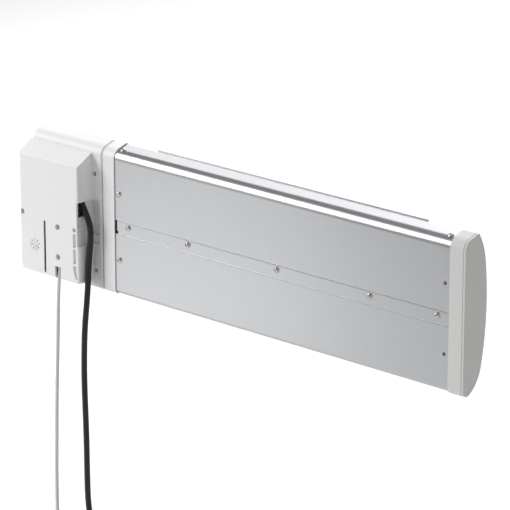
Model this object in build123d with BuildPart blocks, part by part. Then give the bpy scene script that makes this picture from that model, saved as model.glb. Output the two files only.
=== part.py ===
"""Wall-mounted infrared heat lamp warmer: lamp housing, control box, pull switch and mains lead.

Millimetres. +X runs along the housing towards its right-hand end, +Y points from the wall into
the room and +Z is up. The origin is the middle of the control box's wall face.
"""

from build123d import *
import math
import os

os.makedirs("parts", exist_ok=True)

# ---------------------------------------------------------------- driving dimensions
REAR_Y = 22.0  # the housing's back plane, measured from the wall
FRONT_Y = 57.6  # the foremost point of the bowed front
FRONT_MID_Z = 20.0  # the height of that point
FRONT_R = 330.0  # radius of the bowed front
HOUSING_BOTTOM, HOUSING_TOP = -77.2, 94.5
TOP_SLOPE = 17.0  # degrees that the top rises towards the front

BOX_LEFT, BOX_RIGHT = -47.0, 61.5  # control box
PLATE_LEFT, PLATE_RIGHT = -47.0, 47.0  # its raised back, which lies on the wall
PLATE_BOTTOM, PLATE_TOP = -67.5, 68.5
PLATE_SLOPE = 30.0  # degrees that the raised back's top rises towards the front
SLOPE_END_Y = 20.5
PARTING_Y = 48.0  # where the box's two shells meet
WALL = 2.5

RING_LEFT, RING_RIGHT = 63.5, 81.0  # left end frame
MIDDLE_X = 318.5  # the right end frame is the left one mirrored about this plane
SHEET = 1.0
SHEET_INSET = 1.2  # how far the sheet metal lies inside the plastic ends
EMBOSS = 0.8  # how far the rail strip stands out
STRIP_BOTTOM, STRIP_TOP = -1.6, 9.4
JOGGLE_Z = -5.7

RAIL_Z = 5.0
RAIL_X = [102.0, 192.0, 321.3, 450.6, 540.6]
END_X = 87.3
END_Z = [40.8, -35.0]
TOP_SCREW_Y = 31.0
M4_HOLE_R = 2.1

BRACKET_X = 51.0
BRACKET_Z = [57.2, -54.4]
BRACKET_HOLE_R = 2.75

CASE_SCREW_X, CASE_SCREW_Z = -42.4, 0.0
DIAL_X, DIAL_Z = -22.4, -34.5
SWITCH_X = 13.3
SWITCH_Z = [-7.3, -42.2]

TUBE_Y = 45.5  # lamp axis
TUBE_Z = [43.0, -15.0]
TUBE_R = 5.0
REFLECTOR_Y, REFLECTOR_R = 61.0, 31.0

PLUNGER_X, PLUNGER_Y = 10.9, 19.0
PULL_TRAVEL = 8.0
PEG_Z = -12.0  # the plunger's peg at rest
PIVOT_X, PIVOT_Z = PLUNGER_X + 9.0, PEG_Z - PULL_TRAVEL / 2

LEAD_R = 3.5  # mains lead
PULL_R = 2.2  # pull cord
LEAD_TILT = 33.0  # degrees from plumb at which the lead leaves its boot
BOOT_TIP = (38.4, 9.5, 31.5)
BOOT_LENGTH = 24.0

COIL_CENTRE = (51.0, 9.3, -415.0)
COIL_MEAN_R = 35.0
COIL_BAND = 14.6  # the wound bundle is this wide and this thick

boot_axis = Vector(math.sin(math.radians(LEAD_TILT)), 0, -math.cos(math.radians(LEAD_TILT)))
LEAD_ROUTE = [
    BOOT_TIP,
    tuple(Vector(BOOT_TIP) + boot_axis * 18.5),
    (55.6, 10.6, -2.0),
    (53.4, 11.2, -23.0),
    (51.1, 10.8, -44.0),
    (51.3, 9.0, -68.0),
    (50.6, 7.0, -92.0),
    (48.2, 6.0, -118.0),
    (46.6, 5.8, -150.0),
    (46.3, 5.7, -185.0),
    (47.4, 5.8, -222.0),
    (48.2, 5.9, -262.0),
    (48.3, 5.8, -302.0),
    (49.5, 5.8, -333.0),
    (54.5, 5.9, -352.0),
    (64.5, 6.6, -366.0),
    (77.4, 8.0, -376.4),
]
PLUG_CENTRE = (94.0, 20.4, -478.0)
PLUG_R = 18.0
SNOUT_TOP_Z = -443.0
TAIL_ROUTE = [
    (57.8, 20.4, -376.6),
    (76.7, 20.4, -384.4),
    (90.0, 20.4, -400.8),
    (PLUG_CENTRE[0], PLUG_CENTRE[1], -421.0),
    (PLUG_CENTRE[0], PLUG_CENTRE[1], SNOUT_TOP_Z),
]

PULL_ROUTE = [
    (10.9, 5.6, -51.2),
    (10.9, 5.6, -58.0),
    (10.7, 4.2, -67.0),
    (10.2, 3.4, -80.0),
    (9.2, 3.3, -98.0),
    (7.8, 3.5, -126.0),
    (5.3, 4.1, -166.5),
    (2.2, 5.0, -211.0),
    (-0.8, 6.4, -259.5),
    (-4.6, 8.7, -310.0),
    (-4.6, 8.7, -352.0),
]
KNOB_LENGTH, KNOB_R = 24.0, 8.5


# ---------------------------------------------------------------- shared geometry
def front_y(z):
    """Y of the bowed front at height z."""
    return FRONT_Y - FRONT_R + math.sqrt(FRONT_R**2 - (z - FRONT_MID_Z) ** 2)


def polar(centre, radius, angle):
    """A point in the XZ plane round centre, with its angle in degrees from +X."""
    turn = math.radians(angle)
    return (centre[0] + radius * math.cos(turn), centre[2] + radius * math.sin(turn))


def housing_outline(inset=0.0):
    """Cross-section of the housing: flat back, sloping top, bowed front and a tucked-in bottom."""
    top_front = (43.5, HOUSING_TOP)
    fall = (top_front[0] - REAR_Y) * math.tan(math.radians(TOP_SLOPE))
    top_rear = (REAR_Y, HOUSING_TOP - fall)
    bottom_rear = (REAR_Y, HOUSING_BOTTOM)
    bottom_front = (31.0, HOUSING_BOTTOM + 1.2)
    low, high = (front_y(-50), -50), (front_y(65), 65)
    with BuildSketch() as outline:
        with BuildLine():
            bow = ThreePointArc(low, (FRONT_Y, FRONT_MID_Z), high)
            TangentArc(low, bottom_front, tangent=(bow % 0) * -1)
            TangentArc(high, top_front, tangent=bow % 1)
            Polyline(top_front, top_rear, bottom_rear, bottom_front)
        make_face()
        for corner, radius in ((top_rear, 13), (top_front, 2.5), (bottom_rear, 6), (bottom_front, 4)):
            fillet(outline.vertices().sort_by_distance((*corner, 0))[0], radius)
        if inset:
            offset(amount=-inset, mode=Mode.REPLACE)
    return outline.sketch


def housing_prism(x_from, x_to, inset=0.0):
    """The housing's cross-section drawn out along X."""
    with BuildPart() as prism:
        with BuildSketch(Plane.YZ.offset(x_from)):
            add(housing_outline(inset))
        extrude(amount=x_to - x_from)
    return prism.part


def block(x, y, z, mode=Mode.ADD):
    """A box between the limits given as (low, high) pairs."""
    with Locations(((x[0] + x[1]) / 2, (y[0] + y[1]) / 2, (z[0] + z[1]) / 2)):
        Box(x[1] - x[0], y[1] - y[0], z[1] - z[0], mode=mode)


def rod_y(x, z, radius, y_from, y_to, mode=Mode.ADD):
    """A cylinder along Y."""
    with Locations(Plane(origin=(x, y_from, z), x_dir=(1, 0, 0), z_dir=(0, 1, 0))):
        Cylinder(radius, y_to - y_from, align=(Align.CENTER, Align.CENTER, Align.MIN), mode=mode)


def rod_x(y, z, radius, x_from, x_to, mode=Mode.ADD):
    """A cylinder along X."""
    with Locations(Plane(origin=(x_from, y, z), x_dir=(0, 1, 0), z_dir=(1, 0, 0))):
        Cylinder(radius, x_to - x_from, align=(Align.CENTER, Align.CENTER, Align.MIN), mode=mode)


def pan_screw(head_r, head_h, shank_r, length):
    """A domed cross-head screw: the head's seat at z = 0, the shank along +Z."""
    with BuildPart() as screw:
        with BuildSketch(Plane.XZ):
            with BuildLine():
                crown = ThreePointArc((0, -head_h), (head_r * 0.72, -head_h * 0.66), (head_r, -0.3))
                Polyline(crown @ 1, (head_r, 0), (shank_r, 0), (shank_r, length - 0.6))
                Polyline((shank_r, length - 0.6), (shank_r - 0.6, length), (0, length), crown @ 0)
            make_face()
        revolve(axis=Axis.Z)
        for turn in (0, 90):
            with Locations(Location((0, 0, -head_h), (0, 0, turn))):
                Box(head_r * 1.15, 0.75, head_h * 1.1, mode=Mode.SUBTRACT)
    return screw.part


def screw_group(screw, places, along=(0, 1, 0)):
    """The same screw at each place, with its shank along a direction."""
    with BuildPart() as group:
        for place in places:
            with Locations(Plane(origin=place, z_dir=along)):
                add(screw)
    return group.part


def corner_radii(route):
    """The arc radius at each inner point of a cord's route."""
    radii = []
    for before, here, after in zip(route, route[1:], route[2:]):
        run_in, run_out = Vector(here) - Vector(before), Vector(after) - Vector(here)
        half_turn = math.radians(run_in.get_angle(run_out)) / 2
        radii.append(0.45 * min(run_in.length, run_out.length) / math.tan(half_turn))
    return radii


def cord_tube(route, radius, name):
    """A round cord along straight runs joined by tangent arcs."""
    radii = corner_radii(route)
    with BuildPart() as tube:
        with BuildLine() as path:
            FilletPolyline(*route, radius=radii)
        with BuildSketch(Plane(origin=path.line @ 0, z_dir=path.line % 0)):
            Circle(radius)
        sweep(path=path.line)
    length = sum(edge.length for edge in path.edges())
    share = tube.part.volume / (math.pi * radius**2 * length)
    print(name, "length", round(length, 1), "volume share", round(share, 4))
    print("  radii in diameters", [round(r / (2 * radius), 1) for r in radii])
    return tube.part


def wire_bundle(routes, radius, bend):
    """Insulated wires along bent routes."""
    with BuildPart() as bundle:
        for route in routes:
            with BuildLine() as path:
                FilletPolyline(*route, radius=bend)
            with BuildSketch(Plane(origin=path.line @ 0, z_dir=path.line % 0)):
                Circle(radius)
            sweep(path=path.line)
    return bundle.part


def save(piece, label):
    """Names a finished piece and writes it."""
    piece.label = label
    export_step(piece, f"parts/{label}.step")


# ---------------------------------------------------------------- control box shells
def box_block():
    """The control box's outer form, with its end edges softened."""
    with BuildPart() as blank:
        add(housing_prism(BOX_LEFT, BOX_RIGHT))
        fillet(blank.faces().sort_by(Axis.X)[0].edges(), 2.0)
        fillet(blank.faces().sort_by(Axis.X)[-1].edges(), 1.4)
    return blank.part


def raised_back(inset=0.0):
    """The raised back that lies on the wall, or the hollow inside it."""
    rise = math.tan(math.radians(PLATE_SLOPE))
    deep = REAR_Y + WALL + 1
    with BuildPart() as raised:
        with BuildSketch(Plane.YZ.offset(PLATE_LEFT + inset)):
            with BuildLine():
                Polyline(
                    (inset, PLATE_BOTTOM + inset),
                    (inset, PLATE_TOP - inset),
                    (SLOPE_END_Y, PLATE_TOP - inset + rise * (SLOPE_END_Y - inset)),
                    (deep, PLATE_TOP - inset + rise * (SLOPE_END_Y - inset)),
                    (deep, PLATE_BOTTOM + inset - 4),
                    close=True,
                )
            make_face()
        extrude(amount=PLATE_RIGHT - PLATE_LEFT - 2 * inset)
        if not inset:
            for x, radius in ((PLATE_LEFT, 7.0), (PLATE_RIGHT, 5.0)):
                base = raised.faces().sort_by(Axis.Z)[0]
                fillet(base.edges().sort_by_distance((x, 12, PLATE_BOTTOM - 2))[0], radius)
            fillet(raised.faces().sort_by(Axis.Y)[0].edges(), 2.8)
    return raised.part


POCKET_X, POCKET_Z = (44.0, 57.4), (-24.0, 27.0)
POCKET_FLOOR, LEDGE_FLOOR, LEDGE_Z = 28.0, 24.5, -14.0

with BuildPart() as cable_pocket:
    block(POCKET_X, (-1, POCKET_FLOOR), (LEDGE_Z, POCKET_Z[1]))
    block(POCKET_X, (-1, LEDGE_FLOOR), (POCKET_Z[0], LEDGE_Z + 1))
    uprights = cable_pocket.edges().filter_by(Axis.Y).group_by(Axis.X)[-1]
    fillet(uprights.sort_by(Axis.Z)[0], 1.5)
    fillet(cable_pocket.edges().filter_by(Axis.Y).group_by(Axis.X)[-1].sort_by(Axis.Z)[-1], 2.5)

room_half = Plane(origin=(0, PARTING_Y, 0), z_dir=(0, 1, 0))

with BuildPart() as box_rear_cover:
    add(box_block())
    split(bisect_by=room_half, keep=Keep.BOTTOM)
    add(raised_back())
    add(housing_prism(BOX_LEFT + WALL, BOX_RIGHT - WALL, WALL), mode=Mode.SUBTRACT)
    add(raised_back(WALL), mode=Mode.SUBTRACT)
    # walls round the pocket in which the lead comes out
    block((POCKET_X[0] - WALL, POCKET_X[0]), (2.4, POCKET_FLOOR + WALL), (-26.5, 29.5))
    block((POCKET_X[0], 46.9), (5.5, POCKET_FLOOR + WALL), (-26.5, 29.5))
    block((46.0, 60.0), (23.0, POCKET_FLOOR + WALL), (-26.5, 29.5))
    add(cable_pocket.part, mode=Mode.SUBTRACT)
    block((36.0, 45.9), (WALL, 13.8), (9.0, 34.0), mode=Mode.SUBTRACT)
    # bracket holes through the flange, each in a long boss
    for z in BRACKET_Z:
        rod_y(BRACKET_X, z, 3.8, REAR_Y + 0.5, 34.0)
        rod_y(BRACKET_X, z, BRACKET_HOLE_R, REAR_Y - 1, 35.0, mode=Mode.SUBTRACT)
    block((47.6, 50.8), (REAR_Y - 1, REAR_Y + 1.2), (-49.0, -27.0), mode=Mode.SUBTRACT)
    # case screw's boss and deep recess
    rod_y(CASE_SCREW_X + 0.4, CASE_SCREW_Z, 4.2, 1.0, PARTING_Y)
    rod_y(CASE_SCREW_X, CASE_SCREW_Z, 3.2, -1.0, 30.0, mode=Mode.SUBTRACT)
    rod_y(CASE_SCREW_X, CASE_SCREW_Z, 1.75, 29.0, PARTING_Y + 1, mode=Mode.SUBTRACT)
    # pull switch fixings
    for z in SWITCH_Z:
        rod_y(SWITCH_X, z, 4.35, 1.0, 6.6)
        rod_y(SWITCH_X, z, 3.4, -1.0, 5.0, mode=Mode.SUBTRACT)
        rod_y(SWITCH_X, z, 1.7, 4.0, 7.0, mode=Mode.SUBTRACT)
    # slit, rounded notch for the pull cord and recess for the date dial
    block((-8.8, -5.6), (-1, WALL + 1), (-64.0, -3.8), mode=Mode.SUBTRACT)
    block((-11.0, -3.4), (1.2, WALL + 1), (-64.8, -2.0), mode=Mode.SUBTRACT)
    block((8.4, 17.6), (-1, 8.2), (-80.0, -53.5), mode=Mode.SUBTRACT)
    rod_y(DIAL_X, DIAL_Z, 10.5, 1.0, 4.8)
    rod_y(DIAL_X, DIAL_Z, 8.1, -1.0, 2.8, mode=Mode.SUBTRACT)
    # lead channel with bridging ribs
    block((35.4, 45.0), (1.0, 7.0), (-65.4, -1.6))
    with BuildSketch(Plane.XZ.offset(-5.2)):
        for low, high in ((-7.6, -3.2), (-26.1, -9.6), (-45.1, -28.1)):
            with Locations((39.8, (low + high) / 2)):
                Rectangle(4.4, high - low)
        with BuildLine():
            Polyline((37.6, -47.1), (42.0, -47.1), (42.0, -53.0), (44.4, -62.4), (41.0, -62.4),
                     (37.6, -53.0), close=True)
        make_face()
    extrude(amount=8, mode=Mode.SUBTRACT)
    # holes in the right-hand wall: two screws and the wiring
    for y, z, radius in ((33.0, 62.0, 1.8), (33.0, -52.0, 1.8), (38.0, 10.0, 5.0)):
        rod_x(y, z, radius, 55.0, 62.0, mode=Mode.SUBTRACT)
    # posts under the cable clamp and rails under the terminal block
    clamp_plane = Plane(
        origin=Vector(BOOT_TIP) - boot_axis * BOOT_LENGTH, x_dir=(-boot_axis.Z, 0, boot_axis.X), z_dir=boot_axis
    )
    for side in (-10.5, 10.5):
        post = clamp_plane.from_local_coords((side, 0, 0))
        rod_y(post.X, post.Z, 3.4, 2.0, BOOT_TIP[1])
        rod_y(post.X, post.Z, 1.25, 3.5, BOOT_TIP[1] + 1, mode=Mode.SUBTRACT)

with BuildPart() as box_front_shell:
    add(box_block())
    split(bisect_by=room_half, keep=Keep.TOP)
    add(housing_prism(BOX_LEFT + WALL, BOX_RIGHT - WALL, WALL), mode=Mode.SUBTRACT)
    rod_y(CASE_SCREW_X, CASE_SCREW_Z, 4.2, PARTING_Y, 56.0)
    rod_y(CASE_SCREW_X, CASE_SCREW_Z, 1.5, PARTING_Y - 1, 54.5, mode=Mode.SUBTRACT)

save(box_rear_cover.part, "box_rear_cover")
save(box_front_shell.part, "box_front_shell")

with BuildPart() as date_dial:
    rod_y(DIAL_X, DIAL_Z, 8.0, 0.2, 2.8)
    with BuildSketch(Plane.XZ.offset(-0.2)):
        with Locations((DIAL_X, DIAL_Z)):
            with PolarLocations(5.9, 8, start_angle=12):
                Rectangle(2.6, 1.5)
            Circle(3.4)
            Circle(2.7, mode=Mode.SUBTRACT)
            with Locations((1.6, -2.2)):
                Rectangle(1.3, 5.2, rotation=36)
    extrude(amount=-1.6, mode=Mode.SUBTRACT)
save(date_dial.part, "date_dial")

save(screw_group(pan_screw(2.6, 2.0, 1.45, 22.0), [(CASE_SCREW_X, 30.0, CASE_SCREW_Z)]), "box_case_screw")
save(screw_group(pan_screw(2.9, 1.7, 1.45, 5.4), [(SWITCH_X, 5.0, z) for z in SWITCH_Z]), "switch_screws")
save(
    screw_group(pan_screw(3.0, 2.2, 1.6, 12.5), [(59.0, 33.0, 62.0), (59.0, 33.0, -52.0)], along=(1, 0, 0)),
    "box_frame_screws",
)

# ---------------------------------------------------------------- pull switch
BODY_X, BODY_Z = (-3.0, 27.0), (-46.5, 1.0)
BODY_BACK, BODY_FRONT, SKIN = 9.0, 30.0, 1.8
HEAD_Z = (PEG_Z - 5.0, PEG_Z + 3.0)
FOOT_Z = (-51.2, -46.9)
ARM_Y = (24.2, 26.6)

with BuildPart() as pull_switch_body:
    block(BODY_X, (BODY_BACK, BODY_FRONT), BODY_Z)
    block(
        (BODY_X[0] + SKIN, BODY_X[1] - SKIN),
        (BODY_BACK + SKIN, BODY_FRONT + 1),
        (BODY_Z[0] + SKIN, BODY_Z[1] - SKIN),
        mode=Mode.SUBTRACT,
    )
    block((5.6, 20.4), (BODY_BACK, BODY_BACK + 1.6), (-64.4, BODY_Z[0] + 0.5))
    block((7.7, 14.1), (BODY_BACK - 1, BODY_BACK + 3), (-61.0, BODY_Z[0]), mode=Mode.SUBTRACT)
    for z in SWITCH_Z:
        rod_y(SWITCH_X, z, 3.4, 6.6, BODY_BACK + SKIN)
        rod_y(SWITCH_X, z, 1.5, 3.0, 10.6, mode=Mode.SUBTRACT)
    with Locations((PLUNGER_X, PLUNGER_Y, BODY_Z[0])):
        Cylinder(2.9, 8, mode=Mode.SUBTRACT)
    rod_y(PIVOT_X, PIVOT_Z, 3.6, BODY_BACK + 1, 14.0)
    rod_y(PIVOT_X, PIVOT_Z, 2.05, BODY_BACK - 1, 15.0, mode=Mode.SUBTRACT)
save(pull_switch_body.part, "pull_switch_body")

with BuildPart() as pull_switch_cover:
    block(BODY_X, (BODY_FRONT, BODY_FRONT + 1.6), BODY_Z)
    rod_y(PIVOT_X, PIVOT_Z, 3.6, 27.6, BODY_FRONT + 1)
    rod_y(PIVOT_X, PIVOT_Z, 2.05, 27.0, BODY_FRONT + 2, mode=Mode.SUBTRACT)
    fillet(pull_switch_cover.edges().filter_by(Axis.Y).group_by(Axis.X)[0], 1.2)
save(pull_switch_cover.part, "pull_switch_cover")

with BuildPart() as switch_plunger:
    with Locations((PLUNGER_X, PLUNGER_Y, (FOOT_Z[1] + HEAD_Z[0]) / 2)):
        Cylinder(2.5, HEAD_Z[0] - FOOT_Z[1] + 1)
    block((6.5, 15.3), (14.8, 23.2), HEAD_Z)
    fillet(switch_plunger.edges().filter_by(Axis.Z), 1.0)
    rod_y(PLUNGER_X, PEG_Z, 1.2, 23.0, ARM_Y[1] + 0.3)
    block((8.3, 13.5), (2.9, 21.6), FOOT_Z)
save(switch_plunger.part, "switch_plunger")

with BuildPart() as switch_rocker:
    rod_y(PIVOT_X, PIVOT_Z, 2.0, BODY_BACK + 0.3, BODY_FRONT + 1.4)
    rod_y(PIVOT_X, PIVOT_Z, 3.8, 14.4, 27.2)
    peg_angle = math.degrees(math.atan2(PEG_Z - PIVOT_Z, PLUNGER_X - PIVOT_X))
    arm_plane = Plane(origin=(PIVOT_X, ARM_Y[0], PIVOT_Z), x_dir=(1, 0, 0), z_dir=(0, -1, 0))
    with BuildSketch(arm_plane):
        with Locations(Location((0, 0), peg_angle)):
            with Locations((6.2, 0)):
                Rectangle(12.4, 6.4)
            with Locations((10.2, 0)):
                Rectangle(6.0, 3.0, mode=Mode.SUBTRACT)
        with Locations(Location((0, 0), -120)):
            with Locations((4.5, 0)):
                Rectangle(9.0, 2.4)
    extrude(amount=-(ARM_Y[1] - ARM_Y[0]))
save(switch_rocker.part, "switch_rocker")

with BuildPart() as switch_spring:
    with BuildLine(Plane((PLUNGER_X, PLUNGER_Y, BODY_Z[0] + SKIN + 0.45))) as spring_path:
        Helix(pitch=3.8, height=HEAD_Z[0] - BODY_Z[0] - SKIN - 0.9, radius=3.6)
    with BuildSketch(Plane(origin=spring_path.line @ 0, z_dir=spring_path.line % 0)):
        Circle(0.35)
    sweep(path=spring_path.line, is_frenet=True)
save(switch_spring.part, "switch_spring")

with BuildPart() as switch_contacts:
    block((24.5, 25.1), (21.0, 29.6), (-33.0, -19.0))
    block((22.6, 25.1), (28.8, 29.6), (-33.0, -30.0))
    block((-1.1, -0.5), (21.0, 29.6), (-33.0, -19.0))
    block((-1.1, 1.4), (28.8, 29.6), (-33.0, -30.0))
save(switch_contacts.part, "switch_contacts")

# ---------------------------------------------------------------- mains inlet inside the box
with BuildPart() as cable_boot:
    with BuildSketch(Plane(origin=clamp_plane.origin, x_dir=(0, 1, 0), z_dir=-clamp_plane.x_dir)):
        with BuildLine():
            Polyline((0, -5), (6.4, -5), (6.4, -4), (5.6, -4), (5.6, 4), (6.4, 4), (6.4, 5.5), (5.6, 7),
                     (4.2, BOOT_LENGTH), (0, BOOT_LENGTH), close=True)
        make_face()
    revolve(axis=Axis(clamp_plane.origin, clamp_plane.z_dir))
save(cable_boot.part, "cable_boot")

with BuildPart() as cable_clamp:
    with BuildSketch(clamp_plane.offset(-3.6)):
        with Locations((0, -4.0)):
            Rectangle(28.0, 8.0)
        Circle(5.7, mode=Mode.SUBTRACT)
    extrude(amount=7.2)
    for side in (-10.5, 10.5):
        post = clamp_plane.from_local_coords((side, 0, 0))
        rod_y(post.X, post.Z, 1.6, 0.0, 30.0, mode=Mode.SUBTRACT)
save(cable_clamp.part, "cable_clamp")

clamp_top = cable_clamp.part.bounding_box().max.Y
clamp_posts = [clamp_plane.from_local_coords((side, 0, 0)) for side in (-10.5, 10.5)]
save(
    screw_group(
        pan_screw(2.8, 2.0, 1.2, clamp_top - 4.5), [(p.X, clamp_top, p.Z) for p in clamp_posts], along=(0, -1, 0)
    ),
    "clamp_screws",
)

BLOCK_X = [-30.0, -19.0, -8.0]
BLOCK_Z = [28.5, 40.5]
with BuildPart() as terminal_block:
    block((-37.0, -1.0), (WALL, 15.0), (24.0, 45.0))
    fillet(terminal_block.edges().filter_by(Axis.Y), 1.5)
    for x in BLOCK_X:
        for z in BLOCK_Z:
            rod_y(x, z, 2.4, 9.0, 16.0, mode=Mode.SUBTRACT)
        with Locations((x, 6.5, 34.5)):
            Cylinder(1.7, 24, mode=Mode.SUBTRACT)
save(terminal_block.part, "terminal_block")
save(
    screw_group(pan_screw(2.1, 1.4, 1.1, 2.3), [(x, 11.4, z) for x in BLOCK_X for z in BLOCK_Z], along=(0, -1, 0)),
    "terminal_screws",
)

CORE_R = 1.2
core_starts = [(-2.4, 0.0), (0.0, -2.0), (2.4, 0.0)]
core_tops = [64.0, 60.5, 57.0]
box_wiring = wire_bundle(
    [
        [
            clamp_plane.from_local_coords((*start, -5.0)),
            clamp_plane.from_local_coords((*start, -11.0)),
            (x, 6.5, top),
            (x, 6.5, 45.6),
        ]
        for start, x, top in zip(core_starts, BLOCK_X, core_tops)
    ],
    CORE_R,
    3.5,
)
save(box_wiring, "box_wiring")

# ---------------------------------------------------------------- end frames
def end_frame(with_box_fixings):
    """Left end frame: a cup over the sheet metal's edge, with arms that carry the screws."""
    with BuildPart() as frame:
        add(housing_prism(RING_LEFT, RING_RIGHT))
        fillet(frame.faces().sort_by(Axis.X)[0].edges(), 1.0)
        add(housing_prism(RING_LEFT + WALL, RING_RIGHT + 1, SHEET_INSET - 0.05), mode=Mode.SUBTRACT)
        with BuildPart(mode=Mode.PRIVATE) as arms:
            add(housing_prism(RING_LEFT + 1, 92.0, SHEET_INSET + SHEET + 0.15))
            with BuildPart(mode=Mode.PRIVATE) as windows:
                for z in END_Z:
                    block((60, 100), (20, 33.5), (z - 5, z + 11))
                block((60, 100), (26, 37), (78, 100))
            add(windows.part, mode=Mode.INTERSECT)
        add(arms.part)
        for z in END_Z:
            rod_y(END_X, z, M4_HOLE_R, 20, 40, mode=Mode.SUBTRACT)
            rod_x(29.0, z + 7.0, 1.3, 80.0, 93.0, mode=Mode.SUBTRACT)
        with Locations(Plane(origin=TOP_SCREW, z_dir=TOP_NORMAL)):
            Cylinder(1.5, 30, mode=Mode.SUBTRACT)
        if with_box_fixings:
            for z in (62.0, -52.0):
                rod_x(33.0, z, 4.5, BOX_RIGHT, RING_LEFT + 1)
                rod_x(33.0, z, 4.5, RING_LEFT + 1, 72.0)
                rod_x(33.0, z, 1.65, BOX_RIGHT - 1, 73.0, mode=Mode.SUBTRACT)
            rod_x(38.0, 10.0, 5.0, BOX_RIGHT - 1, 70.0, mode=Mode.SUBTRACT)
    return frame.part


slope = math.radians(TOP_SLOPE)
TOP_NORMAL = (0, -math.sin(slope), math.cos(slope))
sheet_top_z = HOUSING_TOP - (43.5 - TOP_SCREW_Y) * math.tan(slope) - SHEET_INSET / math.cos(slope)
TOP_SCREW = (END_X, TOP_SCREW_Y, sheet_top_z)

save(end_frame(with_box_fixings=True), "end_frame_left")
with BuildPart() as end_frame_right:
    mirror(end_frame(with_box_fixings=False), about=Plane.YZ.offset(MIDDLE_X))
save(end_frame_right.part, "end_frame_right")

CAP_FACE = 2 * MIDDLE_X - RING_LEFT
with BuildPart() as end_cover_right:
    add(housing_prism(CAP_FACE + 0.6, CAP_FACE + 3.4))
    fillet(end_cover_right.faces().sort_by(Axis.X)[-1].edges(), 1.2)
    block((CAP_FACE, CAP_FACE + 1.0), (27.0, 48.0), (-60.0, 75.0))
save(end_cover_right.part, "end_cover_right")

# ---------------------------------------------------------------- sheet metal
SHEET_LEFT, SHEET_RIGHT = RING_LEFT + WALL + 0.2, 2 * MIDDLE_X - RING_LEFT - WALL - 0.2
SHEET_Y = REAR_Y + SHEET_INSET
BEZEL_TOP_Y, BEZEL_LOW_Y = 42.0, 31.0
OPENING_Z = (-44.0, 70.0)
OPENING_X = (104.0, 2 * MIDDLE_X - 104.0)
FAR = 200.0
RIGHT_RIM = 2 * MIDDLE_X - RING_RIGHT - 0.2


def skin():
    """The sheet metal's whole section, drawn out along the housing."""
    with BuildPart() as whole:
        add(housing_prism(SHEET_LEFT, SHEET_RIGHT, SHEET_INSET))
        add(housing_prism(SHEET_LEFT - 1, SHEET_RIGHT + 1, SHEET_INSET + SHEET), mode=Mode.SUBTRACT)
    return whole.part


both_ends = [END_X, 2 * MIDDLE_X - END_X]

with BuildPart() as rear_upper_panel:
    add(skin())
    block((0, 700), (0, BEZEL_TOP_Y), (STRIP_TOP, FAR), mode=Mode.INTERSECT)
    block((SHEET_LEFT, SHEET_RIGHT), (SHEET_Y - EMBOSS, SHEET_Y + SHEET), (STRIP_TOP - 0.5, STRIP_TOP + 0.8))
    block((SHEET_LEFT, SHEET_RIGHT), (SHEET_Y - EMBOSS, SHEET_Y - EMBOSS + SHEET), (STRIP_BOTTOM, STRIP_TOP))
    chamfer(
        rear_upper_panel.edges().filter_by(Axis.X).sort_by_distance((MIDDLE_X, SHEET_Y - EMBOSS, STRIP_TOP + 0.8))[0],
        0.7,
    )
    block((60, RING_RIGHT + 4), (20, 26), (STRIP_BOTTOM - 1, STRIP_TOP + 1), mode=Mode.SUBTRACT)
    block((RIGHT_RIM, 600), (20, 26), (STRIP_BOTTOM - 1, STRIP_TOP + 1), mode=Mode.SUBTRACT)
    for x in RAIL_X:
        rod_y(x, RAIL_Z, 1.9, 20, 26, mode=Mode.SUBTRACT)
    for x in both_ends:
        rod_y(x, END_Z[0], M4_HOLE_R, 20, 26, mode=Mode.SUBTRACT)
        with Locations(Plane(origin=(x, *TOP_SCREW[1:]), z_dir=TOP_NORMAL)):
            Cylinder(1.7, 6, mode=Mode.SUBTRACT)
save(rear_upper_panel.part, "rear_upper_panel")

with BuildPart() as rear_lower_panel:
    add(skin())
    block((0, 700), (0, BEZEL_LOW_Y), (-FAR, JOGGLE_Z), mode=Mode.INTERSECT)
    block((SHEET_LEFT, SHEET_RIGHT), (SHEET_Y, SHEET_Y + EMBOSS + SHEET), (JOGGLE_Z - 0.5, JOGGLE_Z + 0.6))
    block(
        (SHEET_LEFT, SHEET_RIGHT), (SHEET_Y + EMBOSS, SHEET_Y + EMBOSS + SHEET), (JOGGLE_Z, STRIP_TOP - 1.4)
    )
    chamfer(
        rear_lower_panel.edges().filter_by(Axis.X).sort_by_distance((MIDDLE_X, SHEET_Y, JOGGLE_Z + 0.6))[0], 0.5
    )
    block((60, RING_RIGHT + 4), (20, 26), (JOGGLE_Z + 0.7, STRIP_TOP), mode=Mode.SUBTRACT)
    for x in RAIL_X:
        rod_y(x, RAIL_Z, 1.5, 20, 26, mode=Mode.SUBTRACT)
    for x in both_ends:
        rod_y(x, END_Z[1], M4_HOLE_R, 20, 26, mode=Mode.SUBTRACT)
save(rear_lower_panel.part, "rear_lower_panel")

with BuildPart() as front_bezel:
    add(skin())
    block((0, 700), (BEZEL_LOW_Y, FAR), (-FAR, FAR), mode=Mode.INTERSECT)
    block((0, 700), (0, BEZEL_TOP_Y), (0, FAR), mode=Mode.SUBTRACT)
    block(OPENING_X, (45, 70), OPENING_Z, mode=Mode.SUBTRACT)
    block((128.0, 509.0), (43.2, 45.0), (90.6, HOUSING_TOP + 0.2))
save(front_bezel.part, "front_bezel")

save(
    screw_group(pan_screw(3.6, 2.4, 1.45, 7.0), [(x, SHEET_Y - EMBOSS, RAIL_Z) for x in RAIL_X]), "rail_screws"
)
save(screw_group(pan_screw(3.5, 2.3, 2.0, 9.5), [(END_X, SHEET_Y, z) for z in END_Z]), "end_screws")
save(
    screw_group(
        pan_screw(3.1, 2.0, 1.45, 8.0),
        [(x, *TOP_SCREW[1:]) for x in both_ends],
        along=tuple(-n for n in TOP_NORMAL),
    ),
    "top_screws",
)

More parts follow.
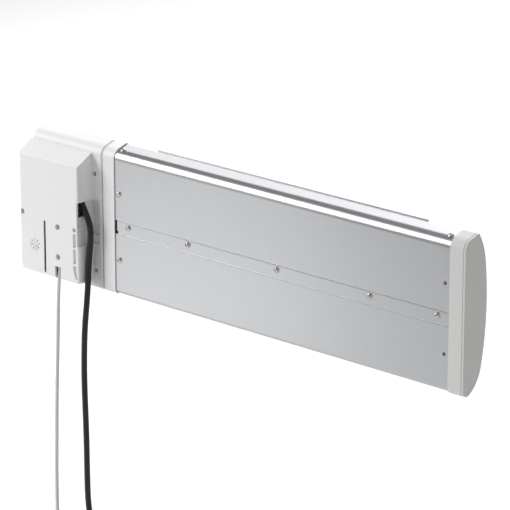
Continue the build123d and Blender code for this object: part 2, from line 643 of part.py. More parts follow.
# ---------------------------------------------------------------- lamps, reflector and guard
BRACKET_LEFT = 92.1
REFLECTOR_X = (BRACKET_LEFT + 4.4, 2 * MIDDLE_X - BRACKET_LEFT - 4.4)
REFLECTOR_FRONT = 46.0
ridge_z = sum(TUBE_Z) / 2

with BuildPart() as reflector:
    with BuildSketch(Plane.YZ.offset(REFLECTOR_X[0])):
        for z in TUBE_Z:
            with Locations((REFLECTOR_Y, z)):
                Circle(REFLECTOR_R)
        for z in TUBE_Z:
            with Locations((REFLECTOR_Y, z)):
                Circle(REFLECTOR_R - 0.8, mode=Mode.SUBTRACT)
        with Locations((REFLECTOR_FRONT + FAR / 2, 0)):
            Rectangle(FAR, 2 * FAR, mode=Mode.SUBTRACT)
        with Locations((REFLECTOR_FRONT - 0.4, ridge_z)):
            Rectangle(0.8, 5.0)
    extrude(amount=REFLECTOR_X[1] - REFLECTOR_X[0])
save(reflector.part, "reflector")


def lamp_bracket():
    """Left lamp bracket: a plate with a hole for each lamp holder."""
    with BuildPart() as bracket:
        block((BRACKET_LEFT, BRACKET_LEFT + 1.5), (25.4, 47.6), (-42.0, 70.0))
        fillet(bracket.edges().filter_by(Axis.X), 3.0)
        for z in TUBE_Z:
            rod_x(TUBE_Y, z, 6.5, 90, 96, mode=Mode.SUBTRACT)
        for z in END_Z:
            rod_x(29.0, z + 7.0, 1.6, 90, 96, mode=Mode.SUBTRACT)
    return bracket.part


with BuildPart() as lamp_brackets:
    add(lamp_bracket())
    mirror(lamp_bracket(), about=Plane.YZ.offset(MIDDLE_X))
save(lamp_brackets.part, "lamp_brackets")

left_bracket_screws = screw_group(
    pan_screw(2.8, 1.9, 1.25, 9.0), [(BRACKET_LEFT + 1.5, 29.0, z + 7.0) for z in END_Z], along=(-1, 0, 0)
)
with BuildPart() as lamp_bracket_screws:
    add(left_bracket_screws)
    mirror(left_bracket_screws, about=Plane.YZ.offset(MIDDLE_X))
save(lamp_bracket_screws.part, "lamp_bracket_screws")


def lamp_holders():
    """The two left ceramic holders."""
    with BuildPart() as holders:
        for z in TUBE_Z:
            rod_x(TUBE_Y, z, 6.3, 84.0, BRACKET_LEFT + 2)
            rod_x(TUBE_Y, z, 7.6, BRACKET_LEFT + 1.5, 104.0)
            rod_x(TUBE_Y, z, TUBE_R + 0.1, 96.0, 105.0, mode=Mode.SUBTRACT)
            rod_x(TUBE_Y, z, 1.4, 83.0, 97.0, mode=Mode.SUBTRACT)
    return holders.part


with BuildPart() as ceramic_holders:
    add(lamp_holders())
    mirror(lamp_holders(), about=Plane.YZ.offset(MIDDLE_X))
save(ceramic_holders.part, "ceramic_holders")

TUBE_X = (96.2, 2 * MIDDLE_X - 96.2)
with BuildPart() as quartz_tubes:
    for z in TUBE_Z:
        rod_x(TUBE_Y, z, TUBE_R, *TUBE_X)
        rod_x(TUBE_Y, z, TUBE_R - 1.0, TUBE_X[0] - 1, TUBE_X[1] + 1, mode=Mode.SUBTRACT)
save(quartz_tubes.part, "quartz_tubes")

with BuildPart() as heating_elements:
    for z in TUBE_Z:
        rod_x(TUBE_Y, z, 1.1, 86.0, 2 * MIDDLE_X - 86.0)
        rod_x(TUBE_Y, z, 2.9, 106.0, 2 * MIDDLE_X - 106.0)
save(heating_elements.part, "heating_elements")

GUARD_SINK = 2.1  # wire centres lie this far inside the bowed front
with BuildPart() as front_guard:
    for step in range(10):
        z = -40.0 + 12.0 * step
        rod_x(front_y(z) - GUARD_SINK, z, 1.0, OPENING_X[0] + 2, OPENING_X[1] - 2)
    for x in (140.0, 229.0, MIDDLE_X, 408.0, 497.0):
        ends = [(x, front_y(z) - 4.0, z) for z in (-48.0, 12.0, 73.0)]
        with BuildLine() as rib:
            ThreePointArc(*ends)
        with BuildSketch(Plane(origin=rib.line @ 0, z_dir=rib.line % 0)):
            Circle(1.1)
        sweep(path=rib.line)
save(front_guard.part, "front_guard")

with BuildPart() as thermal_cutout:
    rod_y(150.0, ridge_z, 6.4, 30.0, 36.5)
    rod_y(150.0, ridge_z, 2.0, 36.0, 44.9)
    block((146.6, 148.0), (25.6, 30.5), (ridge_z - 2.4, ridge_z + 2.4))
    block((152.0, 153.4), (25.6, 30.5), (ridge_z - 2.4, ridge_z + 2.4))
save(thermal_cutout.part, "thermal_cutout")

lamp_wiring = wire_bundle(
    [
        [(52.0, 38.0, 10.0 + side * 2.4), (74.0, 38.0, 10.0 + side * 2.4), (74.0, TUBE_Y - 4, z),
         (78.0, TUBE_Y, z), (85.8, TUBE_Y, z)]
        for side, z in ((1, TUBE_Z[0]), (-1, TUBE_Z[1]))
    ],
    1.25,
    2.2,
)
save(lamp_wiring, "lamp_wiring")

# ---------------------------------------------------------------- cords
save(cord_tube(LEAD_ROUTE, LEAD_R, "mains_cable"), "mains_cable")

with BuildPart() as cable_coil:
    with BuildSketch(Plane(origin=(COIL_CENTRE[0] + COIL_MEAN_R, COIL_CENTRE[1], COIL_CENTRE[2]))):
        RectangleRounded(COIL_BAND, COIL_BAND, 3.4)
    revolve(axis=Axis(COIL_CENTRE, (0, 1, 0)))
save(cable_coil.part, "cable_coil")

save(cord_tube(TAIL_ROUTE, LEAD_R, "plug_lead"), "plug_lead")

TIE_ANGLE = 250
tie_x, tie_z = polar(COIL_CENTRE, COIL_MEAN_R, TIE_ANGLE)
tie_out = Vector(tie_x - COIL_CENTRE[0], 0, tie_z - COIL_CENTRE[2]).normalized()
with BuildPart() as cable_tie:
    tie_plane = Plane(
        origin=(tie_x, COIL_CENTRE[1], tie_z),
        x_dir=tie_out,
        z_dir=(-tie_out.Z, 0, tie_out.X),
    )
    with BuildSketch(tie_plane.offset(-1.8)):
        RectangleRounded(COIL_BAND + 2.6, COIL_BAND + 2.6, 3.5)
        RectangleRounded(COIL_BAND + 0.4, COIL_BAND + 0.4, 2.4, mode=Mode.SUBTRACT)
        with Locations((COIL_BAND / 2 + 2.6, 0)):
            Rectangle(3.0, 5.0)
    extrude(amount=3.6)
save(cable_tie.part, "cable_tie")

with BuildPart() as plug_body:
    rod_y(PLUG_CENTRE[0], PLUG_CENTRE[2], PLUG_R, PLUG_CENTRE[1] - 7.0, PLUG_CENTRE[1] + 7.0)
    fillet(plug_body.edges().filter_by(GeomType.CIRCLE), 2.5)
    with BuildSketch(Plane.XY.offset(PLUG_CENTRE[2] + 10)):
        with Locations(PLUG_CENTRE[:2]):
            Circle(6.4)
    with BuildSketch(Plane.XY.offset(SNOUT_TOP_Z)):
        with Locations(PLUG_CENTRE[:2]):
            Circle(4.6)
    loft()
save(plug_body.part, "plug_body")

with BuildPart() as plug_pins:
    for side in (-9.5, 9.5):
        rod_y(PLUG_CENTRE[0] + side, PLUG_CENTRE[2], 2.4, PLUG_CENTRE[1] + 7.0, PLUG_CENTRE[1] + 26.0)
    tips = plug_pins.faces().sort_by(Axis.Y)[-2:]
    fillet([edge for tip in tips for edge in tip.edges()], 1.2)
save(plug_pins.part, "plug_pins")

save(cord_tube(PULL_ROUTE, PULL_R, "pull_cord"), "pull_cord")

knob_top = Vector(*PULL_ROUTE[-1])
with BuildPart() as pull_knob:
    with BuildSketch(Plane(origin=knob_top, x_dir=(1, 0, 0), z_dir=(0, -1, 0))):
        with BuildLine():
            Polyline((0, -KNOB_LENGTH), (0, 0), (2.8, 0))
            Spline(
                (2.8, 0), (KNOB_R, -KNOB_LENGTH * 0.68), (0, -KNOB_LENGTH), tangents=((0.25, -1), (-1, 0))
            )
        make_face()
    revolve(axis=Axis(knob_top, (0, 0, 1)))
save(pull_knob.part, "pull_knob")
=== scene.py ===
"""Looks of a wall-mounted infrared heat lamp warmer: lead, pull cord, heater coils and finishes."""

import math

import bmesh
import bpy
from mathutils import Matrix, Vector


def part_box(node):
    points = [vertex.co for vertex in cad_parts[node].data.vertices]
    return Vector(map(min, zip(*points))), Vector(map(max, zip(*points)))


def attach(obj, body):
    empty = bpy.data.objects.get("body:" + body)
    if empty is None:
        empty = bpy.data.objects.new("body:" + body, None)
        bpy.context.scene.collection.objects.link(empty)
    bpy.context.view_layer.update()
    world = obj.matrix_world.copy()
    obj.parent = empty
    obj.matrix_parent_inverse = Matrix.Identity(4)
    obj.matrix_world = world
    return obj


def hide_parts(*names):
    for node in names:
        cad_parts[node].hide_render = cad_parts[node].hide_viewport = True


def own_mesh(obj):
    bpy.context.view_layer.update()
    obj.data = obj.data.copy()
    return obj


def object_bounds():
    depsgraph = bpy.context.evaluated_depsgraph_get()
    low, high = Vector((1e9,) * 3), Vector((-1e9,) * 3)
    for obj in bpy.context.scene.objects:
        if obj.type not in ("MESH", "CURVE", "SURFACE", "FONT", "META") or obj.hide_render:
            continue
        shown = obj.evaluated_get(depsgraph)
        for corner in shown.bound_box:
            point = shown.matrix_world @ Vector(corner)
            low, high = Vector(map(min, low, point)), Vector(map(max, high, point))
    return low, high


bl_info = {
    "name": "Heat lamp warmer",
    "version": (1, 0, 0),
    "blender": (4, 5, 0),
    "location": "View3D > Sidebar > Heater",
    "description": "Cords, heater coils, finishes and studio for a wall-mounted heat lamp warmer",
    "category": "Object",
}

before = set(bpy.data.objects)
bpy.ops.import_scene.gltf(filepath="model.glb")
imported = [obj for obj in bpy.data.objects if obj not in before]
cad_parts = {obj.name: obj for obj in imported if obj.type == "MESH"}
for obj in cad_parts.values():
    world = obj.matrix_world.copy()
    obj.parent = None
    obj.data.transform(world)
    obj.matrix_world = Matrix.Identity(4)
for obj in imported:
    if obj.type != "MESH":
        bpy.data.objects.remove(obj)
cad_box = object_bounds()
MM = 0.001

# Control points of the two free cords, in millimetres
BOOT_TIP = (38.4, 9.5, 31.5)
LEAD_TILT = math.radians(33.0)
STRAIGHT = 18.5
LEAD_ROUTE = [
    BOOT_TIP,
    (
        BOOT_TIP[0] + STRAIGHT * math.sin(LEAD_TILT),
        BOOT_TIP[1],
        BOOT_TIP[2] - STRAIGHT * math.cos(LEAD_TILT),
    ),
    (55.6, 10.6, -2.0),
    (53.4, 11.2, -23.0),
    (51.1, 10.8, -44.0),
    (51.3, 9.0, -68.0),
    (50.6, 7.0, -92.0),
    (48.2, 6.0, -118.0),
    (46.6, 5.8, -150.0),
    (46.3, 5.7, -185.0),
    (47.4, 5.8, -222.0),
    (48.2, 5.9, -262.0),
    (48.3, 5.8, -302.0),
    (49.5, 5.8, -333.0),
    (54.5, 5.9, -352.0),
    (64.5, 6.6, -366.0),
    (77.4, 8.0, -376.4),
]
COIL_CENTRE = (51.0, -415.0)
OUTER, INNER = 38.7, 31.3
BACK, FRONT, OVER = 5.6, 13.0, 20.4
COIL_STAGES = [  # (degrees from +X, radius, depth) where each stretch of the winding begins or ends
    (28, 41.5, 6.6),
    (5, OUTER, BACK),
    (-315, OUTER, BACK),
    (-365, INNER, BACK),
    (-610, INNER, BACK),
    (-660, INNER, FRONT),
    (-920, INNER, FRONT),
    (-965, OUTER, FRONT),
    (-1230, OUTER, FRONT),
    (-1280, OUTER, OVER),
    (-1350, OUTER, OVER),
]
TAIL_ROUTE = [(76.7, 20.4, -384.4), (90.0, 20.4, -400.8), (94.0, 20.4, -421.0), (94.0, 20.4, -443.0)]
PULL_ROUTE = [
    (10.9, 5.6, -51.2),
    (10.9, 5.6, -58.0),
    (10.7, 4.2, -67.0),
    (10.2, 3.4, -80.0),
    (9.2, 3.3, -98.0),
    (7.8, 3.5, -126.0),
    (5.3, 4.1, -166.5),
    (2.2, 5.0, -211.0),
    (-0.8, 6.4, -259.5),
    (-4.6, 8.7, -310.0),
    (-4.6, 8.7, -352.0),
]

# Windings, in metres
TUBE_RADIUS = 0.005
HEATER_WINDING_RADIUS = 0.0027
HEATER_END_GAP = 0.012
HEATER_ROD_RADIUS = 0.0011
HEATER_ROD_REACH = 0.010
HEATER_TURN_STEPS, HEATER_WIRE_SIDES = 12, 5
SPRING_TURN_STEPS, SPRING_WIRE_SIDES = 24, 10
WELD = 0.00001

# Relief of the finishes
MOTTLE_SCALE, MOTTLE_DETAIL, FINE_DETAIL = 22.0, 5.0, 4.0
BRAID_LEAN, BRAID_SCALE, BRAID_STRENGTH, BRAID_DEPTH = 0.9, 260.0, 0.6, 0.0003

# Studio, in metres, watts and degrees
FLOOR_HALF_WIDTH, FLOOR_DROP = 12.0, 0.25
WORLD_STRENGTH = 0.27
AIM = (0.27, 0.03, -0.02)
LIGHTS = (  # name, place, aim, size, power
    ("key", (-1.6, -1.6, 1.1), AIM, 1.2, 38.0),
    ("left_panel", (-0.45, -0.60, -0.25), (0.10, 0.0, 0.0), 0.50, 0.42),
    ("top", (0.1, 0.6, 1.9), AIM, 1.0, 12.0),
    ("right_fill", (2.2, -0.5, 0.5), AIM, 1.0, 2.0),
    ("backdrop", (-1.4, 2.6, 1.4), (-1.4, 2.6, -1.0), 3.5, 90.0),
)
CAMERA_AZIMUTH, CAMERA_ELEVATION = 42.5, 17.7
CAMERA_TARGET, CAMERA_DISTANCE = (0.291, 0.022, 0.015), 3.496
SENSOR_WIDTH = 36.0
LENS = 3300 / 510 * SENSOR_WIDTH
FAR_CLIP = 50.0


class HeaterSizes(bpy.types.PropertyGroup):
    """Sizes of the cords, heater coils and return spring."""

    lead_diameter: bpy.props.FloatProperty(
        name="Lead diameter", description="Outer diameter of the mains lead", default=0.007, unit="LENGTH"
    )
    lead_length: bpy.props.FloatProperty(
        name="Lead length", description="Real length of the mains lead", default=1.39, unit="LENGTH"
    )
    pull_diameter: bpy.props.FloatProperty(
        name="Pull cord diameter", description="Outer diameter of the pull cord", default=0.0044, unit="LENGTH"
    )
    pull_length: bpy.props.FloatProperty(
        name="Pull cord length", description="Real length of the pull cord", default=0.301, unit="LENGTH"
    )
    wire_diameter: bpy.props.FloatProperty(
        name="Heater wire", description="Diameter of the resistance wire", default=0.0007, unit="LENGTH"
    )
    coil_pitch: bpy.props.FloatProperty(
        name="Heater coil pitch", description="Distance between two turns of wire", default=0.0022, unit="LENGTH"
    )
    spring_wire: bpy.props.FloatProperty(
        name="Spring wire", description="Diameter of the return spring's wire", default=0.0007, unit="LENGTH"
    )
    spring_turns: bpy.props.IntProperty(
        name="Spring turns", description="Turns of the return spring", default=7
    )


class HeaterColours(bpy.types.PropertyGroup):
    """Colours of the main finishes."""

    box: bpy.props.FloatVectorProperty(
        name="Control box", description="Moulded white of the box", default=(0.91, 0.91, 0.905), subtype="COLOR"
    )
    cap: bpy.props.FloatVectorProperty(
        name="End cap", description="Moulded grey of the right end", default=(0.80, 0.795, 0.78), subtype="COLOR"
    )
    aluminium: bpy.props.FloatVectorProperty(
        name="Aluminium", description="Rolled sheet of the housing", default=(0.52, 0.528, 0.542), subtype="COLOR"
    )
    lead: bpy.props.FloatVectorProperty(
        name="Mains lead", description="Sheath of the mains lead", default=(0.009, 0.009, 0.010), subtype="COLOR"
    )
    pull: bpy.props.FloatVectorProperty(
        name="Pull cord", description="Braid of the pull cord", default=(0.80, 0.80, 0.79), subtype="COLOR"
    )


# ---------------------------------------------------------------- finishes
def grained(name, colour, rough, metallic=0.0, grain=(1, 1, 1), fine=900.0, bump=0.08, depth=0.0002,
            tint=0.05, rough_spread=0.07, **sockets):
    """A surface whose colour, gloss and relief vary with a fine grain and a broad mottle."""
    material = bpy.data.materials.new(name)
    material.use_nodes = True
    tree = material.node_tree
    shader = tree.nodes["Principled BSDF"]
    place = tree.nodes.new("ShaderNodeTexCoord")
    stretch = tree.nodes.new("ShaderNodeMapping")
    stretch.inputs["Scale"].default_value = grain
    tree.links.new(place.outputs["Object"], stretch.inputs["Vector"])
    fine_noise = tree.nodes.new("ShaderNodeTexNoise")
    fine_noise.inputs["Scale"].default_value = fine
    fine_noise.inputs["Detail"].default_value = FINE_DETAIL
    tree.links.new(stretch.outputs["Vector"], fine_noise.inputs["Vector"])
    mottle = tree.nodes.new("ShaderNodeTexNoise")
    mottle.inputs["Scale"].default_value = MOTTLE_SCALE
    mottle.inputs["Detail"].default_value = MOTTLE_DETAIL
    tree.links.new(place.outputs["Object"], mottle.inputs["Vector"])
    blend = tree.nodes.new("ShaderNodeMix")
    blend.data_type = "RGBA"
    blend.inputs["A"].default_value = (*(c * (1 - tint) for c in colour), 1)
    blend.inputs["B"].default_value = (*(min(1.0, c * (1 + tint)) for c in colour), 1)
    tree.links.new(mottle.outputs["Fac"], blend.inputs["Factor"])
    tree.links.new(blend.outputs["Result"], shader.inputs["Base Color"])
    gloss = tree.nodes.new("ShaderNodeMapRange")
    gloss.inputs["To Min"].default_value = rough - rough_spread
    gloss.inputs["To Max"].default_value = rough + rough_spread
    tree.links.new(fine_noise.outputs["Fac"], gloss.inputs["Value"])
    tree.links.new(gloss.outputs["Result"], shader.inputs["Roughness"])
    relief = tree.nodes.new("ShaderNodeBump")
    relief.inputs["Strength"].default_value = bump
    relief.inputs["Distance"].default_value = depth
    tree.links.new(fine_noise.outputs["Fac"], relief.inputs["Height"])
    tree.links.new(relief.outputs["Normal"], shader.inputs["Normal"])
    shader.inputs["Metallic"].default_value = metallic
    for socket, value in sockets.items():
        shader.inputs[socket.replace("_", " ")].default_value = value
    return material


def braided(name, colour):
    """A woven cord: two crossing spirals of strands in relief."""
    material = grained(name, colour, 0.75, fine=2500.0, bump=0.2, tint=0.03)
    tree = material.node_tree
    shader = tree.nodes["Principled BSDF"]
    place = next(n for n in tree.nodes if n.type == "TEX_COORD")
    heights = []
    for turn in (BRAID_LEAN, -BRAID_LEAN):
        lean = tree.nodes.new("ShaderNodeMapping")
        lean.inputs["Rotation"].default_value = (0.0, turn, 0.0)
        tree.links.new(place.outputs["Object"], lean.inputs["Vector"])
        strands = tree.nodes.new("ShaderNodeTexWave")
        strands.bands_direction = "Z"
        strands.inputs["Scale"].default_value = BRAID_SCALE
        tree.links.new(lean.outputs["Vector"], strands.inputs["Vector"])
        heights.append(strands)
    weave = tree.nodes.new("ShaderNodeMath")
    weave.operation = "MAXIMUM"
    tree.links.new(heights[0].outputs["Fac"], weave.inputs[0])
    tree.links.new(heights[1].outputs["Fac"], weave.inputs[1])
    relief = tree.nodes.new("ShaderNodeBump")
    relief.inputs["Strength"].default_value = BRAID_STRENGTH
    relief.inputs["Distance"].default_value = BRAID_DEPTH
    tree.links.new(weave.outputs[0], relief.inputs["Height"])
    tree.links.new(relief.outputs["Normal"], shader.inputs["Normal"])
    return material


def dress(material, *nodes):
    """Gives CAD nodes a finish."""
    for name in nodes:
        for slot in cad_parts[name].material_slots:
            slot.material = material


# ---------------------------------------------------------------- shapes
def cord_curve(name, route, diameter, material):
    """A round cord whose centreline is one smooth spline; the route's points pull it."""
    data = bpy.data.curves.new(name, "CURVE")
    data.dimensions = "3D"
    spline = data.splines.new("NURBS")
    spline.points.add(len(route) - 1)
    for point, place in zip(spline.points, route):
        point.co = (*(c * MM for c in place), 1.0)
    spline.order_u = 3
    spline.use_endpoint_u = True
    spline.resolution_u = 6
    data.bevel_depth = diameter / 2
    data.bevel_resolution = 4
    data.use_fill_caps = True
    cord = bpy.data.objects.new(name, data)
    bpy.context.collection.objects.link(cord)
    data.materials.append(material)
    return cord


def coil_points(step=15):
    """Points round the tied winding, from where the lead joins it to where its end leaves."""
    shrink = math.cos(math.radians(step / 2))
    points = []
    for (a0, r0, y0), (a1, r1, y1) in zip(COIL_STAGES, COIL_STAGES[1:]):
        count = max(1, round((a0 - a1) / step))
        for k in range(count):
            share = k / count
            turn = math.radians(a0 + (a1 - a0) * share)
            radius = (r0 + (r1 - r0) * share) / shrink
            depth = y0 + (y1 - y0) * share
            points.append(
                (COIL_CENTRE[0] + radius * math.cos(turn), depth, COIL_CENTRE[1] + radius * math.sin(turn))
            )
    return points


def mesh_piece(name, shape, material, smooth=True):
    """Turns a bmesh into an object with a finish."""
    data = bpy.data.meshes.new(name)
    bmesh.ops.recalc_face_normals(shape, faces=shape.faces)
    shape.to_mesh(data)
    shape.free()
    if smooth:
        for face in data.polygons:
            face.use_smooth = True
    data.materials.append(material)
    piece = bpy.data.objects.new(name, data)
    bpy.context.collection.objects.link(piece)
    return piece


class HEATER_OT_lead(bpy.types.Operator):
    """Lay the mains lead down the wall and wind its spare length into a tied coil"""

    bl_idname = "heater.lead"
    bl_label = "Mains lead"

    def execute(self, context):
        sizes, colours = context.scene.heater_sizes, context.scene.heater_colours
        sheath = grained("black_flex_sheath", colours.lead, 0.38, fine=700.0, bump=0.10, tint=0.2)
        lead = cord_curve("mains_lead", LEAD_ROUTE + coil_points() + TAIL_ROUTE, sizes.lead_diameter, sheath)
        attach(lead, "housing")
        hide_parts("mains_cable", "cable_coil", "plug_lead")
        return {"FINISHED"}


class HEATER_OT_pull_cord(bpy.types.Operator):
    """Hang the braided pull cord from the switch"""

    bl_idname = "heater.pull_cord"
    bl_label = "Pull cord"

    def execute(self, context):
        sizes, colours = context.scene.heater_sizes, context.scene.heater_colours
        braid = braided("white_braid", colours.pull)
        cord = cord_curve("pull_string", PULL_ROUTE, sizes.pull_diameter, braid)
        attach(cord, "pull")
        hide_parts("pull_cord")
        return {"FINISHED"}


def one_turn(name, radius, wire, pitch, steps, sides):
    """One turn of round wire about the X axis, from x = 0 to x = pitch."""
    winding = bmesh.new()
    ring = bmesh.ops.create_circle(winding, radius=wire / 2, segments=sides)["verts"]
    edges = list({edge for vert in ring for edge in vert.link_edges})
    bmesh.ops.rotate(winding, verts=ring, matrix=Matrix.Rotation(math.radians(90), 3, "Y"))
    bmesh.ops.rotate(winding, verts=ring, matrix=Matrix.Rotation(math.radians(90), 3, "Z"))
    bmesh.ops.translate(winding, verts=ring, vec=(0, 0, radius))
    bmesh.ops.spin(
        winding,
        geom=ring + edges,
        cent=(0, 0, 0),
        axis=(1, 0, 0),
        dvec=(pitch / steps, 0, 0),
        angle=math.tau,
        steps=steps,
        use_merge=False,
        use_duplicate=False,
    )
    turn = bpy.data.meshes.new(name)
    winding.to_mesh(turn)
    winding.free()
    return turn


def wind(shape, turn, turns, pitch):
    """Adds turns copies of one turn to shape, end to end along X from x = 0."""
    for _ in range(turns):
        shape.from_mesh(turn)
        turn.transform(Matrix.Translation((pitch, 0, 0)))
    turn.transform(Matrix.Translation((-pitch * turns, 0, 0)))


class HEATER_OT_heater_coils(bpy.types.Operator):
    """Wind the resistance wire inside the quartz tubes"""

    bl_idname = "heater.heater_coils"
    bl_label = "Heater coils"

    def execute(self, context):
        sizes = context.scene.heater_sizes
        oxide = grained("oxidised_wire", (0.16, 0.13, 0.11), 0.5, metallic=0.9, fine=1200.0, tint=0.2)
        low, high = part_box("quartz_tubes")
        start, end = low[0] + HEATER_END_GAP, high[0] - HEATER_END_GAP
        turns = round((end - start) / sizes.coil_pitch)
        pitch = (end - start) / turns
        turn = one_turn(
            "one_heater_turn",
            HEATER_WINDING_RADIUS,
            sizes.wire_diameter,
            pitch,
            HEATER_TURN_STEPS,
            HEATER_WIRE_SIDES,
        )
        middle_y = (low[1] + high[1]) / 2
        lower_z, upper_z = low[2] + TUBE_RADIUS, high[2] - TUBE_RADIUS
        shape = bmesh.new()
        wind(shape, turn, turns, pitch)
        bmesh.ops.translate(shape, verts=shape.verts, vec=(start, middle_y, lower_z))
        turn.transform(Matrix.Translation((start, middle_y, upper_z)))
        wind(shape, turn, turns, pitch)
        for z in (lower_z, upper_z):
            for a, b in ((low[0] - HEATER_ROD_REACH, start), (end, high[0] + HEATER_ROD_REACH)):
                rod = bmesh.ops.create_cone(
                    shape,
                    cap_ends=True,
                    segments=10,
                    radius1=HEATER_ROD_RADIUS,
                    radius2=HEATER_ROD_RADIUS,
                    depth=b - a,
                )["verts"]
                bmesh.ops.rotate(shape, verts=rod, matrix=Matrix.Rotation(math.radians(90), 3, "Y"))
                bmesh.ops.translate(shape, verts=rod, vec=((a + b) / 2, middle_y, z))
        bmesh.ops.remove_doubles(shape, verts=shape.verts, dist=WELD)
        coils = mesh_piece("heater_coils", shape, oxide)
        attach(coils, "housing")
        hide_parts("heating_elements")
        return {"FINISHED"}


class HEATER_OT_return_spring(bpy.types.Operator):
    """Wind the spring that lifts the pull switch again"""

    bl_idname = "heater.return_spring"
    bl_label = "Return spring"

    def execute(self, context):
        sizes = context.scene.heater_sizes
        steel = grained("spring_steel", (0.50, 0.50, 0.49), 0.30, metallic=1.0, fine=1500.0, bump=0.05,
                        tint=0.04, rough_spread=0.05)
        low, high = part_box("switch_spring")
        wire = sizes.spring_wire
        height = high[2] - low[2]
        pitch = (height - wire) / sizes.spring_turns
        radius = (high[0] - low[0] - wire) / 2
        turn = one_turn("one_spring_turn", radius, wire, pitch, SPRING_TURN_STEPS, SPRING_WIRE_SIDES)
        shape = bmesh.new()
        wind(shape, turn, sizes.spring_turns, pitch)
        bmesh.ops.remove_doubles(shape, verts=shape.verts, dist=WELD)
        ends = [edge for edge in shape.edges if edge.is_boundary]
        bmesh.ops.holes_fill(shape, edges=ends, sides=0)
        bmesh.ops.rotate(shape, verts=shape.verts, matrix=Matrix.Rotation(math.radians(-90), 3, "Y"))
        centre = ((low[0] + high[0]) / 2, (low[1] + high[1]) / 2, low[2] + wire / 2)
        bmesh.ops.translate(shape, verts=shape.verts, vec=centre)
        spring = mesh_piece("return_spring", shape, steel)
        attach(spring, "housing")
        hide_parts("switch_spring")
        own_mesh(spring)
        return {"FINISHED"}


class HEATER_OT_plastics(bpy.types.Operator):
    """Give the moulded plastic pieces their finishes"""

    bl_idname = "heater.plastics"
    bl_label = "Moulded plastics"

    def execute(self, context):
        colours = context.scene.heater_colours
        white = grained("white_moulding", colours.box, 0.42, fine=1500.0, bump=0.05, tint=0.012)
        dress(white, "box_rear_cover", "box_front_shell", "end_frame_left", "date_dial", "pull_switch_body",
              "pull_knob")
        cap = grained("grey_moulding", colours.cap, 0.5, fine=1300.0, bump=0.08, tint=0.02)
        dress(cap, "end_frame_right", "end_cover_right")
        nylon = grained("natural_nylon", (0.74, 0.73, 0.66), 0.45, fine=900.0, tint=0.03)
        dress(nylon, "pull_switch_cover", "switch_plunger", "switch_rocker", "cable_clamp")
        dark = grained("dark_moulding", (0.012, 0.012, 0.013), 0.45, fine=1000.0, bump=0.12, tint=0.2)
        dress(dark, "cable_boot", "cable_tie", "plug_body", "thermal_cutout")
        wire = grained("wire_insulation", (0.45, 0.40, 0.32), 0.6, fine=1000.0, tint=0.1)
        dress(wire, "box_wiring", "lamp_wiring")
        glaze = grained("steatite", (0.80, 0.77, 0.69), 0.55, fine=1100.0, bump=0.15, tint=0.05)
        dress(glaze, "ceramic_holders", "terminal_block")
        return {"FINISHED"}


class HEATER_OT_metals(bpy.types.Operator):
    """Give the sheet metal, screws, contacts, guard and quartz tubes their finishes"""

    bl_idname = "heater.metals"
    bl_label = "Metals and glass"

    def execute(self, context):
        colours = context.scene.heater_colours
        sheet = grained("rolled_aluminium", colours.aluminium, 0.30, metallic=1.0, grain=(0.03, 1, 1),
                        fine=1600.0, bump=0.10, depth=0.00006, tint=0.015, rough_spread=0.05)
        dress(sheet, "rear_upper_panel", "rear_lower_panel", "front_bezel")
        mirror = grained("bright_reflector", (0.86, 0.87, 0.88), 0.14, metallic=1.0, grain=(0.05, 1, 1),
                         fine=600.0, bump=0.06, tint=0.02, rough_spread=0.04)
        dress(mirror, "reflector")
        zinc = grained("zinc_plate", (0.62, 0.62, 0.61), 0.30, metallic=1.0, fine=900.0, bump=0.1, tint=0.08)
        dress(zinc, "box_case_screw", "switch_screws", "box_frame_screws", "clamp_screws", "rail_screws",
              "end_screws", "top_screws", "lamp_brackets", "lamp_bracket_screws")
        brass = grained("brass", (0.72, 0.54, 0.24), 0.3, metallic=1.0, fine=900.0, tint=0.08)
        dress(brass, "switch_contacts", "terminal_screws")
        nickel = grained("nickel_plate", (0.74, 0.72, 0.68), 0.2, metallic=1.0, fine=1200.0, tint=0.04)
        dress(nickel, "front_guard", "plug_pins")
        quartz = grained("quartz_glass", (0.97, 0.97, 0.97), 0.06, fine=300.0, bump=0.03, tint=0.01,
                         rough_spread=0.03, Transmission_Weight=0.92, IOR=1.46)
        dress(quartz, "quartz_tubes")
        return {"FINISHED"}


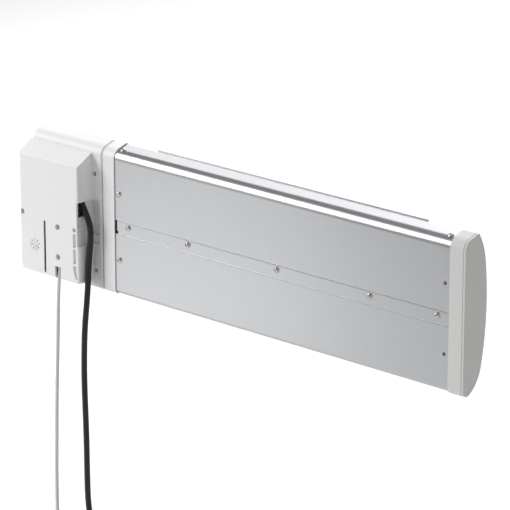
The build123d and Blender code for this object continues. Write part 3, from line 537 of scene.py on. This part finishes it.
class HEATER_OT_studio(bpy.types.Operator):
    """Set the floor, lights and camera"""

    bl_idname = "heater.studio"
    bl_label = "Studio"

    def execute(self, context):
        scene = context.scene
        shape = bmesh.new()
        bmesh.ops.create_grid(shape, x_segments=2, y_segments=2, size=FLOOR_HALF_WIDTH)
        bmesh.ops.translate(shape, verts=shape.verts, vec=(0, 0, cad_box[0][2] - FLOOR_DROP))
        paper = grained("studio_paper", (0.93, 0.93, 0.93), 0.9, fine=60.0, bump=0.02, tint=0.004)
        floor = mesh_piece("studio_floor", shape, paper, smooth=False)
        world = bpy.data.worlds.new("studio_light")
        world.use_nodes = True
        sky = world.node_tree.nodes["Background"]
        sky.inputs["Color"].default_value = (1.0, 1.0, 1.0, 1.0)
        sky.inputs["Strength"].default_value = WORLD_STRENGTH
        scene.world = world
        scene.view_settings.view_transform = "Standard"
        for name, place, aim, size, power in LIGHTS:
            data = bpy.data.lights.new(name, "AREA")
            data.shape = "SQUARE"
            data.size = size
            data.energy = power
            lamp = bpy.data.objects.new(name, data)
            scene.collection.objects.link(lamp)
            lamp.location = place
            lamp.rotation_euler = (Vector(aim) - Vector(place)).to_track_quat("-Z", "Y").to_euler()
        azimuth, elevation = math.radians(CAMERA_AZIMUTH), math.radians(CAMERA_ELEVATION)
        level = math.cos(elevation)
        back = Vector((math.sin(azimuth) * level, -math.cos(azimuth) * level, math.sin(elevation)))
        data = bpy.data.cameras.new("view")
        data.sensor_width = SENSOR_WIDTH
        data.lens = LENS
        data.clip_end = FAR_CLIP
        camera = bpy.data.objects.new("view", data)
        scene.collection.objects.link(camera)
        camera.location = Vector(CAMERA_TARGET) + back * CAMERA_DISTANCE
        camera.rotation_euler = (-back).to_track_quat("-Z", "Y").to_euler()
        scene.camera = camera
        return {"FINISHED"}


STEPS = (
    HEATER_OT_studio,
    HEATER_OT_lead,
    HEATER_OT_pull_cord,
    HEATER_OT_heater_coils,
    HEATER_OT_return_spring,
    HEATER_OT_plastics,
    HEATER_OT_metals,
)


class HEATER_PT_panel(bpy.types.Panel):
    """Lists the steps that dress the heater"""

    bl_idname = "HEATER_PT_panel"
    bl_label = "Heat lamp warmer"
    bl_space_type = "VIEW_3D"
    bl_region_type = "UI"
    bl_category = "Heater"

    def draw(self, context):
        for step in STEPS:
            self.layout.operator(step.bl_idname)
        for group in (context.scene.heater_sizes, context.scene.heater_colours):
            for name in group.__annotations__:
                self.layout.prop(group, name)


CLASSES = (HeaterSizes, HeaterColours, *STEPS, HEATER_PT_panel)


def register():
    for cls in CLASSES:
        bpy.utils.register_class(cls)
    bpy.types.Scene.heater_sizes = bpy.props.PointerProperty(type=HeaterSizes)
    bpy.types.Scene.heater_colours = bpy.props.PointerProperty(type=HeaterColours)


def unregister():
    del bpy.types.Scene.heater_colours
    del bpy.types.Scene.heater_sizes
    for cls in reversed(CLASSES):
        bpy.utils.unregister_class(cls)


def main():
    register()
    for step in STEPS:
        group, name = step.bl_idname.split(".")
        getattr(getattr(bpy.ops, group), name)()


if __name__ == "__main__":
    main()
